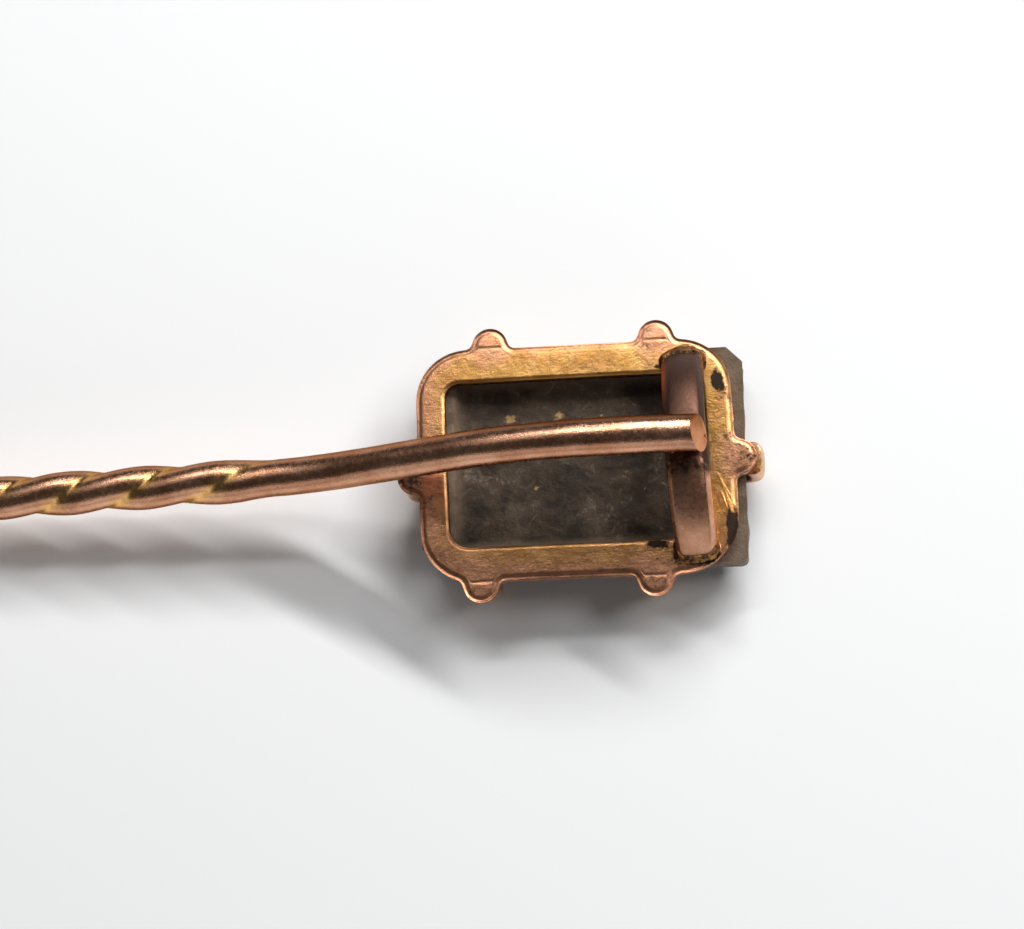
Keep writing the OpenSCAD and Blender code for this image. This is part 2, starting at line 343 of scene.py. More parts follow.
def stone_material():
    n = Nodes("stone")
    cloud = n.noise(0.7, detail=6, rough=0.62, distort=0.6)
    color = n.mix(n.remap(cloud, 0.40, 0.66), STONE_DARK, STONE_BROWN)
    pale = n.remap(n.noise(2.6, detail=8, rough=0.75, distort=1.0), 0.55, 0.64)
    pale = n.math("MULTIPLY", pale, n.remap(cloud, 0.42, 0.6), clamp=True)
    color = n.mix(n.math("MULTIPLY", pale, 0.7), color, STONE_PALE)
    color = n.mix(n.attribute("side"), color, STONE_SIDE)
    streak = n.remap(n.noise(2.4, detail=5, stretch=(0.5, 0.5, 1.6)), 0.45, 0.62)
    color = n.mix(n.math("MULTIPLY", streak, n.attribute("side")), color, STONE_STREAK)
    fleck = n.math("ADD", n.attribute("fleck"), n.patches(9, 0.6, rough=0.8))
    fleck = n.remap(fleck, 0.56, 0.72)
    color = n.mix(fleck, color, STONE_FLECK)
    n.shader.inputs["Specular IOR Level"].default_value = STONE_SHINE
    n.bump(n.cell_edges(3.2), 0.25, 0.03)
    n.bump(n.noise(5, detail=8, rough=0.75), 0.9, 0.08)
    rough = n.remap(n.noise(4, detail=4), 0.3, 0.7, 0.34, 0.6)
    rough = n.math("MULTIPLY", rough, n.remap(n.attribute("polish"), 0, 1, 1, 0.25))
    return n.finish(color, rough, n.math("MULTIPLY", fleck, 0.5))


materials = {
    "plate": plate_material(),
    "wire": wire_material(),
    "strap": strap_material(),
    "claw": claw_material(),
    "solder": solder_material(),
    "stone": stone_material(),
}


# ---------------------------------------------------------------- back plate

LOBE_R = 0.56
LOBE_OUT = 0.1
LOBE_BLEND = 0.28
PLATE_LEAN = math.radians(1.8)
TOP_LOBES_X = [-2.65, 2.58]
BOTTOM_LOBES_X = [-3.0, 2.4]
END_LOBES_Y = [-0.31, -0.13]
PLATE_HALF = (plate_high - plate_low)[:2] / 2 - LOBE_R - LOBE_OUT
WINDOW_HALF = np.array([4.05, 2.65])
# Radii of the corners, counterclockwise from the upper right
PLATE_CORNERS = [1.6, 1.7, 1.6, 1.9]
WINDOW_CORNERS = [0.5, 0.5, 0.65, 0.5]
ARM_HALF = (PLATE_HALF + WINDOW_HALF) / 2
ARM_CORNER = 1.15
PLATE_EDGE_R = 0.15
PLATE_FLARE = 0.07
WINDOW_EDGE_R = 0.12
LOOPS_ON_FACE = 34
SCRATCH_W = 0.035
lobe_centres = [(x, PLATE_HALF[1] + LOBE_OUT) for x in TOP_LOBES_X]
lobe_centres += [(x, -PLATE_HALF[1] - LOBE_OUT) for x in BOTTOM_LOBES_X]
lobe_centres += [(side * (PLATE_HALF[0] + LOBE_OUT), y) for side, y in zip((-1, 1), END_LOBES_Y)]


def leaning_rect_distance(p, half, corners):
    """Signed distance to a rectangle with leaning sides and a radius of its own at each corner."""
    x = p[:, 0] + math.tan(PLATE_LEAN) * p[:, 1]
    y = p[:, 1]
    upper = np.where(x > 0, corners[0], corners[1])
    lower = np.where(x > 0, corners[3], corners[2])
    corner = np.where(y > 0, upper, lower)
    q = np.abs(np.column_stack([x, y])) - half + corner[:, None]
    return np.linalg.norm(np.maximum(q, 0), axis=1) + np.minimum(q.max(1), 0) - corner


def soft_min(a, b, reach):
    """The smaller of two distances, with a fillet of about reach where they meet."""
    h = np.clip(0.5 + 0.5 * (b - a) / reach, 0, 1)
    return b * (1 - h) + a * h - reach * h * (1 - h)


def plate_distance(p):
    """Signed distance to the plate's outline, with a fillet where each lobe meets the edge."""
    d = leaning_rect_distance(p, PLATE_HALF, PLATE_CORNERS)
    for centre in lobe_centres:
        d = soft_min(d, np.linalg.norm(p - np.array(centre), axis=1) - LOBE_R, LOBE_BLEND)
    return d


def window_distance(p):
    return -leaning_rect_distance(p, WINDOW_HALF, WINDOW_CORNERS)


def arm_line(step):
    """Points along the middle of the plate's four arms, and the way out at each."""
    straight = ARM_HALF - ARM_CORNER
    points, outs = [], []
    for quarter in range(4):
        a0 = quarter * math.pi / 2
        sign = np.array([1 if quarter in (0, 3) else -1, 1 if quarter in (0, 1) else -1])
        centre = straight * sign
        count = int(ARM_CORNER * math.pi / 2 / step)
        for a in np.linspace(a0, a0 + math.pi / 2, count, endpoint=False):
            outs.append((math.cos(a), math.sin(a)))
            points.append(centre + ARM_CORNER * np.array(outs[-1]))
        run = 2 * straight[0] if quarter in (0, 2) else 2 * straight[1]
        out = np.array([math.cos(a0 + math.pi / 2), math.sin(a0 + math.pi / 2)])
        ahead = np.array([-out[1], out[0]])
        for t in np.arange(0, run, step):
            points.append(centre + ARM_CORNER * out + t * ahead)
            outs.append(tuple(out))
    return np.array(points), np.array(outs)


def march(points, outs, distance, reach):
    """The place along each way out where the distance is zero, by halving."""
    low, high = np.zeros(len(points)), np.full(len(points), reach)
    for _ in range(40):
        mid = (low + high) / 2
        inside = distance(points + outs * mid[:, None]) < 0
        low, high = np.where(inside, mid, low), np.where(inside, high, mid)
    return points + outs * low[:, None]


def outline_normals(loop):
    ahead = np.roll(loop, -1, 0) - np.roll(loop, 1, 0)
    ahead /= np.linalg.norm(ahead, axis=1)[:, None]
    return np.stack([ahead[:, 1], -ahead[:, 0]], 1)


def plate_loops(outer, inner):
    """Closed loops of points round the plate's section: outer edge, face, window edge, underside."""
    out_n, in_n = outline_normals(outer), -outline_normals(inner)
    z0, z1 = plate_low[2], plate_high[2]
    loops = []

    def add(xy, z):
        loops.append(np.column_stack([xy, np.full(len(xy), z)]))

    turns = np.radians(np.arange(0, 91, 15))
    for a in turns[::-1]:
        add(outer - out_n * PLATE_EDGE_R * (1 - math.cos(a)), z0 + PLATE_EDGE_R * (1 - math.sin(a)))
    for a in turns:
        inset = PLATE_FLARE * math.sin(a) + PLATE_EDGE_R * (1 - math.cos(a))
        add(outer - out_n * inset, z1 - PLATE_EDGE_R * (1 - math.sin(a)))
    top_outer = outer - out_n * (PLATE_FLARE + PLATE_EDGE_R)
    top_inner = inner - in_n * WINDOW_EDGE_R
    for t in np.linspace(0, 1, LOOPS_ON_FACE)[1:-1]:
        add(top_outer * (1 - t) + top_inner * t, z1)
    for a in turns[::-1]:
        add(inner - in_n * WINDOW_EDGE_R * (1 - math.cos(a)), z1 - WINDOW_EDGE_R * (1 - math.sin(a)))
    for a in turns:
        add(inner - in_n * WINDOW_EDGE_R * (1 - math.cos(a)), z0 + WINDOW_EDGE_R * (1 - math.sin(a)))
    for t in (0.66, 0.33):
        add(top_outer * (1 - t) + top_inner * t, z0)
    return loops


def plate_tarnish_and_shade(xy):
    """Darker patches as x, y, two reaches and a strength: beside the strap, painted shade on the lower and
    right lobes and the right side of the arms, away from the light, and the wire's shadow painted on the
    left lobe and the arm beside it.
    """
    right = strap_high[0]
    middle = strap_middle[0]
    beside_strap = [(right + 0.10, 2.25, 0.22, 0.38, 1.15),
                    (right + 0.42, -2.15, 0.2, 0.42, 1.1),
                    (middle - 1.05, -2.85, 0.26, 0.14, 1.0),
                    (middle + 0.25, -3.25, 0.75, 0.35, 1.0),
                    (middle - 0.75, 2.78, 0.28, 0.14, 0.9),
                    (middle + 0.1, 3.25, 0.7, 0.16, 0.6),
                    (right + 0.45, -2.75, 0.25, 0.5, 0.8)]
    # Painted shadow of the wire on the left lobe and the arm beside it, and painted shade on the lower and
    # right lobes
    on_lobes = [(-5.5, -0.5, 0.7, 0.6, 0.65),
                (-4.7, -1.2, 0.6, 0.7, 0.42),
                (-3.2, -4.1, 0.6, 0.4, 0.48),
                (2.3, -4.1, 0.6, 0.4, 0.45),
                (5.2, -0.2, 0.5, 0.5, 0.55)]
    # Painted shade on the right side of the arms
    on_arms = [(right + 0.45, 0.8, 0.5, 1.7, 0.42),
               (2.4, -3.3, 1.0, 0.6, 0.36),
               (2.2, 3.4, 1.1, 0.5, 0.34)]
    total = 0
    for x, y, reach_x, reach_y, strength in beside_strap + on_lobes + on_arms:
        gap = ((xy[:, 0] - x) / reach_x) ** 2 + ((xy[:, 1] - y) / reach_y) ** 2
        total = total + strength * np.exp(-gap)
    return total


def plate_scratches(xy):
    """Fresh scratches on the right arm, between the strap and the lobe."""
    right = strap_high[0]
    lines = [((right + 0.05, -0.75), (right + 0.62, -1.85)),
             ((right + 0.12, -0.9), (right + 0.5, -1.95)),
             ((right + 0.3, -1.5), (right + 0.45, -1.95)),
             ((right + 0.15, -1.35), (right + 0.3, -1.8))]
    return np.max([near_line(xy, start, end, SCRATCH_W) for start, end in lines], axis=0)


def plate_sinking(p, xy, from_edge):
    """Hand work: how far the face lies below a flat one. It is domed, waves and sinks at its edges."""
    dome = 0.006 * (xy ** 2 * [0.55, 1.0]).sum(1)
    wave = 0.012 * (1 + ripple(p, 2.4, 3)) + 0.004 * ripple(p, 0.8, 4)
    return dome + wave + 0.02 * np.exp(-from_edge / 0.2)


def lobe_seams(xy):
    """Depth of the fine line at the foot of each long-side lobe, where it meets the edge."""
    depth = 0
    for lobe_x, lobe_y in lobe_centres[:4]:
        seam_y = lobe_y - math.copysign(0.08, lobe_y)
        depth = depth + 0.022 * near_line(xy, (lobe_x - 0.42, seam_y), (lobe_x + 0.42, seam_y), 0.05)
    return depth


def plate_rub(xy, from_edge):
    """Where the yellow skin has worn to pink: edges, lobes, the left side and the lower arm."""
    lobe_gap = np.min([np.linalg.norm(xy - np.array(c), axis=1) for c in lobe_centres], 0)
    rub = 0.8 * np.exp(-from_edge / 0.22) + 0.6 * (1 - smooth_step(lobe_gap, 0.3, 1.0))
    rub += 0.6 * (1 - smooth_step(xy[:, 0], -4.9, -3.4)) + 0.54 * smooth_step(-xy[:, 1], 2.2, 3.6)
    rub += 0.35 * smooth_step(-xy[:, 0] - xy[:, 1], 3.5, 6.5)
    return np.clip(rub, 0, 1)


def make_plate():
    line, outs = arm_line(0.04)
    outer = march(line, outs, plate_distance, 3.0)
    inner = march(line, -outs, window_distance, 3.0)
    loops = plate_loops(outer, inner)
    around = len(line)
    p = np.concatenate(loops)
    z1 = plate_high[2]
    xy, z = p[:, :2].copy(), p[:, 2].copy()
    from_edge, from_window = -plate_distance(xy), -window_distance(xy)
    top = smooth_step(z, z1 - 0.16, z1 - 0.02)
    p[:, 2] -= plate_sinking(p, xy, from_edge) * top
    p[:, 2] -= lobe_seams(xy) * top
    out = np.tile(outs, (len(loops), 1))
    p[:, :2] += 0.010 * ripple(p, 1.2, 9)[:, None] * out
    p[:, :2] += plate_middle
    p[:, :2] = np.clip(p[:, :2], plate_low[:2], plate_high[:2])
    wall = 1 - smooth_step(z, z1 - 0.34, z1 - 0.12)
    # Painted shade: the patches above, and the window's wall darkened away from the face
    tarnish_and_shade = plate_tarnish_and_shade(p) + 0.9 * wall * (from_window < 0.13)
    scratch = plate_scratches(p)
    p[:, 2] += 0.012 * scratch * top
    faces = ring_faces(len(loops), around)
    last = (len(loops) - 1) * around
    faces += [(last + j, last + (j + 1) % around, (j + 1) % around, j) for j in range(around)]
    looks = {"rub": plate_rub(xy, from_edge), "tarnish_and_shade": np.clip(tarnish_and_shade, 0, 1), "scratch": scratch}
    piece = build_mesh("back_plate_frame", p, faces, materials["plate"], looks)
    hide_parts("back_plate")


# ---------------------------------------------------------------- stone

# Cuts on the upper right and the lower left corner, by the sign of X, and on the upper left one
STONE_CHAMFERS = {1: 0.5, -1: 0.8}
TOP_LEFT_CHAMFER = 0.65
SMALL_CORNER = 0.22
BEVEL_H = 0.75
BEVEL_W = 0.9
STONE_GAP = 0.03
RECESS_HALF = (4.05, 2.72)
RECESS_DEPTH = 0.34
GRID_COLUMNS = 190
GRID_ROWS = 130
# Gold flecks in the back, as x, y and size
FLECKS = [(-2.3, 1.5, 0.20), (-2.15, 1.2, 0.15), (-0.75, 1.55, 0.18), (-0.5, 1.3, 0.12),
          (-3.5, 1.2, 0.06), (0.6, 1.5, 0.06), (-1.5, -0.75, 0.09), (1.9, -0.9, 0.05)]


def stone_reach(y, side, half):
    """How far the stone's outline goes along X at height y, towards side."""
    cut = STONE_CHAMFERS[side]
    x = half[0] - np.clip(side * y - (half[1] - cut), 0, None)
    if side < 0:
        x -= np.clip(y - (half[1] - TOP_LEFT_CHAMFER), 0, None)
    over = np.clip(-side * y - (half[1] - SMALL_CORNER), 0, SMALL_CORNER)
    return x - SMALL_CORNER + np.sqrt(np.clip(SMALL_CORNER ** 2 - over ** 2, 0, None))


def stone_grid(half):
    """A grid of points that fills the stone's outline, closer together near the long edges."""
    v = np.linspace(-1, 1, GRID_ROWS)
    y = half[1] * np.sin(v * math.pi / 2) * 0.35 + half[1] * v * 0.65
    left, right = -stone_reach(y, -1, half), stone_reach(y, 1, half)
    u = np.linspace(0, 1, GRID_COLUMNS)
    x = left[:, None] * (1 - u) + right[:, None] * u
    return np.column_stack([x.ravel(), np.repeat(y, GRID_COLUMNS)])


def grid_edge():
    """The indices round the grid's edge, in order."""
    columns, rows = GRID_COLUMNS, GRID_ROWS
    bottom = list(range(columns))
    right = [r * columns + columns - 1 for r in range(1, rows)]
    top = [(rows - 1) * columns + c for c in range(columns - 2, -1, -1)]
    left = [r * columns for r in range(rows - 2, 0, -1)]
    return bottom + right + top + left


def stone_back(flat):
    """The broken back, lower inside the window, with knobs and pits; and 1 inside the window."""
    top = stone_high[2]
    rim = np.maximum(np.abs(flat[:, 0]) - RECESS_HALF[0], np.abs(flat[:, 1]) - RECESS_HALF[1])
    inside = 1 - smooth_step(rim, -0.35, 0.05)
    relief = np.array([
        0.10 * noise.fractal(Vector((x * 0.55, y * 0.55, 3.1)), 0.9, 2.1, 5)
        + 0.05 * noise.voronoi(Vector((x * 1.6, y * 1.6, 0.7)))[0][0]
        for x, y in flat])
    height = top - 0.02 - inside * (RECESS_DEPTH + np.clip(relief, -0.14, 0.26))
    return np.column_stack([flat, np.minimum(height, top - 0.01)]), inside


def stone_wall(rim, table_rim):
    """Points in rings down the wall and over the bevel, and how many rings there are."""
    top = stone_high[2]
    # The height of each ring, and its share of the way in to the table
    levels = [(top - 0.12, 0.0), (top - 0.35, 0.0), (top - 0.6, 0.0), (top - 0.8, 0.0),
              (BEVEL_H + 0.06, 0.0), (BEVEL_H - 0.04, 0.05), (BEVEL_H / 2, 0.5), (0.03, 0.97)]
    rings = [np.column_stack([rim * (1 - inset) + table_rim * inset, np.full(len(rim), z)])
             for z, inset in levels]
    wall = np.concatenate(rings)
    out = wall[:, :2] / np.linalg.norm(wall[:, :2], axis=1)[:, None]
    rough = smooth_step(wall[:, 2], BEVEL_H - 0.1, BEVEL_H + 0.1)
    wall[:, :2] -= out * (0.035 * (1 + ripple(wall, 0.5, 21)) * rough)[:, None]
    return wall, len(rings)


def stone_faces(edge, n_back, n_wall, rings):
    """Quads over the back and the table, and round the wall between them."""
    faces = []
    for start in (0, n_back + n_wall):
        for r in range(GRID_ROWS - 1):
            for c in range(GRID_COLUMNS - 1):
                a = start + r * GRID_COLUMNS + c
                faces.append((a, a + 1, a + GRID_COLUMNS + 1, a + GRID_COLUMNS))
    around = len(edge)
    chain = [edge] + [[n_back + k * around + i for i in range(around)] for k in range(rings)]
    chain.append([n_back + n_wall + i for i in edge])
    for a, b in zip(chain[:-1], chain[1:]):
        for i in range(around):
            j = (i + 1) % around
            faces.append((a[i], a[j], b[j], b[i]))
    return faces


def stone_flecks(p):
    fleck = np.zeros(len(p))
    for x, y, reach in FLECKS:
        gap = np.linalg.norm(p[:, :2] - np.array([x, y]), axis=1)
        fleck = np.maximum(fleck, np.exp(-(gap / reach) ** 2) * (p[:, 2] > BEVEL_H))
    return fleck


def make_stone():
    half = (stone_high[:2] - stone_low[:2]) / 2 - STONE_GAP
    flat = stone_grid(half)
    table = stone_grid(half - BEVEL_W)
    edge = grid_edge()
    back, inside = stone_back(flat)
    wall, rings = stone_wall(flat[edge], table[edge])
    front = np.column_stack([table, np.full(len(table), stone_low[2])])
    n_back, n_wall = len(back), len(wall)
    p = np.concatenate([back, wall, front])
    p[:, :2] += (stone_high[:2] + stone_low[:2]) / 2
    polish = (p[:, 2] < BEVEL_H).astype(float)
    side = np.zeros(len(p))
    side[n_back:n_back + n_wall] = 1.0
    side[:n_back] = 0.6 * (1 - inside)
    side *= 1 - polish
    looks = {"side": side, "polish": polish, "fleck": stone_flecks(p)}
    faces = stone_faces(edge, n_back, n_wall, rings)
    piece = build_mesh("stone_slab", p, faces, materials["stone"], looks, sharp_angle=35)
    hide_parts("stone")


# ---------------------------------------------------------------- claws

CLAW_SINK = 0.02
CLAW_STATIONS = 30
CLAW_AROUND = 32


def bezier(a, b, c, d, count):
    t = np.linspace(0, 1, count)[:, None]
    a, b, c, d = (np.array(v, float) for v in (a, b, c, d))
    return a * (1 - t) ** 3 + 3 * b * t * (1 - t) ** 2 + 3 * c * t * t * (1 - t) + d * t ** 3


def super_ellipse(around, half_a, half_b, power):
    """Points round an ellipse (power 2) that turns to a rectangle as power grows."""
    a = np.linspace(0, 2 * math.pi, around, endpoint=False)
    cos_a, sin_a = np.cos(a), np.sin(a)
    x = np.sign(cos_a) * np.abs(cos_a) ** (2 / power)
    y = np.sign(sin_a) * np.abs(sin_a) ** (2 / power)
    return np.column_stack([half_a * x, half_b * y])


def claw_path(thick, top):
    """The claw's centre line, as distance out from the stone's wall and height."""
    start, end = (thick / 2 - 0.14, top), (-0.40, 0.30)
    return bezier(start, (thick / 2 + 0.10, 0.95), (thick / 2 - 0.02, 0.44), end, CLAW_STATIONS)


def make_claw(node, out_axis, out_sign, seed):
    """A claw from under its lobe, down the stone's wall and over the bevel."""
    low, high = box_mm(node)
    along_axis = 1 - out_axis
    stone_side = (stone_high if out_sign > 0 else stone_low)[out_axis] * out_sign
    reach = (high if out_sign > 0 else low)[out_axis] * out_sign
    thick = reach - stone_side
    middle = (low[along_axis] + high[along_axis]) / 2
    half_w = (high[along_axis] - low[along_axis]) / 2
    path = claw_path(thick, high[2] + CLAW_SINK)
    ahead = np.gradient(path, axis=0)
    ahead /= np.linalg.norm(ahead, axis=1)[:, None]
    side = np.column_stack([-ahead[:, 1], ahead[:, 0]])
    t = np.linspace(0, 1, len(path))
    tip = np.sqrt(np.clip(1 - (np.clip(t - 0.86, 0, None) / 0.14) ** 2, 0.015, 1))
    rings = []
    for i, centre in enumerate(path):
        width = half_w * (1 - 0.22 * t[i] ** 2) * tip[i]
        depth = (thick / 2) * (1 - 0.55 * t[i] ** 1.5) * tip[i]
        shape = super_ellipse(CLAW_AROUND, width, depth, 3.0)
        plane = centre + shape[:, 1:] * side[i]
        ring = np.zeros((CLAW_AROUND, 3))
        ring[:, out_axis] = (stone_side + plane[:, 0]) * out_sign
        ring[:, along_axis] = middle + shape[:, 0]
        ring[:, 2] = plane[:, 1]
        rings.append(ring)
    p = np.concatenate(rings)
    p += 0.012 * ripple(p, 0.7, seed)[:, None] * np.array([1, 1, 0])
    p = np.clip(p, low, high + [0, 0, CLAW_SINK])
    faces = tube_faces(len(rings), CLAW_AROUND)
    piece = build_mesh(node + "_prong", p, faces, materials["claw"])
    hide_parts(node)


# ---------------------------------------------------------------- strap and solder

STRAP_SPAN = 6.6
STRAP_W = 1.3
STRAP_T = 0.7
STRAP_FOOT_R = 0.42
FOOT_SINK = 0.05
strap_rise = strap_high[2] - back_z
ring_r = ((STRAP_SPAN / 2) ** 2 + strap_rise ** 2) / (2 * strap_rise)
ring_z = strap_high[2] - ring_r


def strap_narrowing(to_end):
    """How much narrower each side of the strap is, close to a foot."""
    into_corner = max(0.0, STRAP_FOOT_R - to_end - 0.12)
    return STRAP_FOOT_R - math.sqrt(max(0.0, STRAP_FOOT_R ** 2 - into_corner ** 2))


def strap_shade(angle, to_end):
    """Painted shade on the upper half, which faces away from the light, and the wire's painted shadow on
    the stretch below it; darker at the feet too.
    """
    upper = float(smooth_step(math.sin(angle), -0.16, 0.0))
    feet = 0.8 * math.exp(-(to_end / 0.3) ** 2)
    under_wire = 0.9 * math.exp(-((angle + 0.18) / 0.12) ** 2)
    return 1.4 * upper - 0.2 + feet + under_wire


def make_strap():
    """A strip with a domed face, bent to an arch, with its corners rounded at the feet."""
    around, rings = 48, 130
    foot_angle = math.acos((back_z - FOOT_SINK - ring_z) / ring_r)
    shape = super_ellipse(around, 1.0, 1.0, 5.0)
    across = np.abs(shape[:, 0])
    dome = 0.10 * across ** 2 + 0.10 * smooth_step(across, 0.72, 1.0)
    verts, tarnish_and_shade, painted_reflection = [], [], []
    for angle in np.linspace(-foot_angle, foot_angle, rings):
        to_end = (foot_angle - abs(angle)) * ring_r
        x = shape[:, 0] * (STRAP_W / 2 - strap_narrowing(to_end))
        radius = ring_r - STRAP_T / 2 + shape[:, 1] * STRAP_T / 2 - dome * np.clip(shape[:, 1], 0, 1)
        verts.append(np.column_stack([x, radius * math.sin(angle), ring_z + radius * math.cos(angle)]))
        # Painted shade and shadow, darker at the feet
        tarnish_and_shade.append(np.full(around, strap_shade(angle, to_end)))
        # Painted reflection: a red sheen along the left edge of the upper half
        painted_reflection.append(smooth_step(-shape[:, 0], 0.72, 0.95) * math.exp(-((angle - 0.62) / 0.22) ** 2))
    p = np.concatenate(verts)
    p += 0.014 * ripple(p, 1.1, 31)[:, None] * np.array([1, 0, 0.6])
    p[:, :2] += strap_middle
    p = turned(p, strap_middle, STRAP_LEAN)
    p = np.clip(p, strap_low - [0, 0, FOOT_SINK], strap_high)
    looks = {"tarnish_and_shade": np.clip(np.concatenate(tarnish_and_shade), 0, 1), "painted_reflection": np.concatenate(painted_reflection)}
    faces = tube_faces(rings, around)
    piece = build_mesh("strap_arch", p, faces, materials["strap"], looks)
    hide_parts("strap")


def make_foot_solder(node, sign, seed):
    """Solder that has crept out round a foot: a thin rim, thickest against the strap."""
    low, high = box_mm(node)
    around, rings = 96, 9
    a = np.linspace(0, 2 * math.pi, around, endpoint=False)
    foot = super_ellipse(around, STRAP_W / 2 - 0.05, 0.40, 3.0)
    creep = 0.5 + 0.5 * ripple(np.column_stack([np.cos(a) * 2, np.sin(a) * 2, a * 0]), 1.0, seed)
    spread = 0.10 + 0.15 * np.clip(creep, 0, 1)
    outward = foot / np.linalg.norm(foot, axis=1)[:, None]
    verts = []
    for k in range(rings):
        t = k / (rings - 1)
        ring = foot + outward * (spread * t)[:, None]
        z = back_z - 0.13 + 0.22 * (1 - t) ** 1.8
        verts.append(np.column_stack([ring, np.full(around, z)]))
    p = np.concatenate(verts)
    p[:, 1] += sign * (STRAP_SPAN / 2 - 0.38)
    p[:, :2] += strap_middle
    p = turned(p, strap_middle, STRAP_LEAN)
    p[:, 2] += 0.012 * ripple(p, 0.25, seed + 1)
    p = np.clip(p, low - [0, 0, 0.2], high)
    faces = tube_faces(rings, around)
    piece = build_mesh(node + "_rim", p, faces, materials["solder"])
    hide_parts(node)


def make_stem_solder():
    """The fillet under the wire, on the strap's crown."""
    low, high = box_mm("stem_solder")
    stations, around = 30, 20
    half_h = 0.17
    rows = []
    for i, x in enumerate(np.linspace(low[0] + 0.02, high[0] - 0.02, stations)):
        ends = min(1.0, 4.0 * min(i, stations - 1 - i) / stations + 0.35)
        half = (high[1] - low[1]) / 2 * ends * (0.86 + 0.1 * math.sin(x * 9))
        for j in range(around):
            a = 2 * math.pi * j / around
            z = high[2] - half_h + half_h * math.sin(a) * (1 - 0.65 * abs(math.cos(a)))
            rows.append((x, half * math.cos(a), z))
    p = np.clip(np.array(rows), low, high)
    faces = tube_faces(stations, around)
    piece = build_mesh("stem_solder_fillet", p, faces, materials["solder"])
    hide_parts("stem_solder")


# ---------------------------------------------------------------- pin

WIRE_R = 0.59
TWIST_R = 0.71
TWIST_L = 12.0
TWIST_LEAD = 4.7
TWIST_PHASE = 0.9
NECK_L = 0.8
SHANK_R = 0.45
SHANK_L = 20.0
TAPER_L = 12.5
TIP_R = 0.03
PIN_Y = -0.03
CUT_X = 3.87
CUT_SLANT = math.radians(18)
CUT_SPARE = 0.14
SOLDER_GAP = 0.03
TWIST_SPREAD = 0.19
GROOVE_W = 0.42
# Each bend as radius and pitch before and after it, in degrees
BENDS = [(24.0, 9.0, 0.0), (12.0, 0.0, -21.0)]
SLOPE_L = 3.6
HEEL_R = 10.0
pin_axis = Vector(mounts["pin_shank"]["axis"])
pin_slope = math.degrees(math.asin(-pin_axis.z))
pin_yaw = math.atan2(-pin_axis.y, -pin_axis.x)
pin_pivot = np.array([strap_middle[0], PIN_Y])
start_z = strap_high[2] + SOLDER_GAP + WIRE_R


def pin_stretches():
    """Stretches of the wire as (length, pitch at its start, pitch at its end), pitch in degrees."""
    stretches = [(r * math.radians(a - b), a, b) for r, a, b in BENDS]
    fall = BENDS[-1][2]
    stretches.append((SLOPE_L, fall, fall))
    stretches.append((HEEL_R * math.radians(-pin_slope - fall), fall, -pin_slope))
    stretches.append((TWIST_L + NECK_L + SHANK_L + TAPER_L, -pin_slope, -pin_slope))
    return stretches


def summed(slope, gap):
    """Running total of a slope, from 0, by the trapezium rule."""
    return np.concatenate([[0], np.cumsum((slope[1:] + slope[:-1]) / 2 * gap)])


def pin_line(s):
    """The wire's centre line at distances s from its start: x, z and pitch, and where stretches end."""
    stretches = pin_stretches()
    ends = np.cumsum([0] + [length for length, _, _ in stretches])
    fine = np.linspace(0, ends[-1], 20001)
    pitches = [stretches[0][1]] + [last for _, _, last in stretches]
    pitch = np.radians(np.interp(fine, ends, pitches))
    gap = fine[1] - fine[0]
    x = -summed(np.cos(pitch), gap)
    z = summed(np.sin(pitch), gap)
    start_x = CUT_X + WIRE_R * math.tan(CUT_SLANT) + CUT_SPARE
    return start_x + np.interp(s, fine, x), start_z + np.interp(s, fine, z), np.interp(s, fine, pitch), ends


def twist_section(s, a, start):
    """Radius and groove of the two-lobed section at each distance and angle."""
    slow_start = 1 + 0.35 * (1 - smooth_step(s, start, start + 5.0))
    lead = TWIST_LEAD * slow_start
    step = np.diff(s, prepend=s[0])
    phase = np.cumsum(2 * math.pi / lead * step)
    phase += TWIST_PHASE - np.interp(start, s, phase)
    spread = TWIST_SPREAD * TWIST_R
    turn = a[None, :] + phase[:, None]
    cos_l, sin_l = np.cos(turn), np.sin(turn)
    radius = spread * np.sqrt(cos_l ** 2 + 0.002) + np.sqrt((TWIST_R - spread) ** 2 - (spread * sin_l) ** 2)
    return np.minimum(radius, TWIST_R), np.exp(-(cos_l / GROOVE_W) ** 2)


def pin_stations(end):
    """Distances along the wire: close together at its cut end and through the twist."""
    head = np.linspace(0, 0.6, 25)
    return np.concatenate([head, np.arange(0.66, end, 0.06), [end]])


def cut_end(p):
    """Moves the points that stand past the slanting cut along the wire, onto the cut."""
    normal = np.array([math.cos(CUT_SLANT), 0, math.sin(CUT_SLANT)])
    on_cut = np.array([CUT_X, 0, start_z])
    rise = math.radians(BENDS[0][1])
    ahead = np.array([-math.cos(rise), 0, math.sin(rise)])
    over = np.clip((p - on_cut) @ normal, 0, None) / (ahead @ normal)
    return p - over[:, None] * ahead


def wire_radius(s, a, twist_start):
    """Radius of the wire at each distance and angle, how deep in a groove it is, and the shank's start."""
    twist_end = twist_start + TWIST_L
    shank_start = twist_end + NECK_L
    taper_start = shank_start + SHANK_L
    plain = np.interp(s, [0, twist_end, shank_start, taper_start, taper_start + TAPER_L],
                      [WIRE_R, WIRE_R, SHANK_R, SHANK_R, TIP_R])
    amount = smooth_step(s, twist_start - 1.6, twist_start + 1.4)
    amount *= 1 - smooth_step(s, twist_end - 1.2, twist_end + 0.1)
    twisted, groove = twist_section(s, a, twist_start)
    radius = plain[:, None] * (1 - amount[:, None]) + twisted * amount[:, None]
    return radius, groove * amount[:, None], shank_start


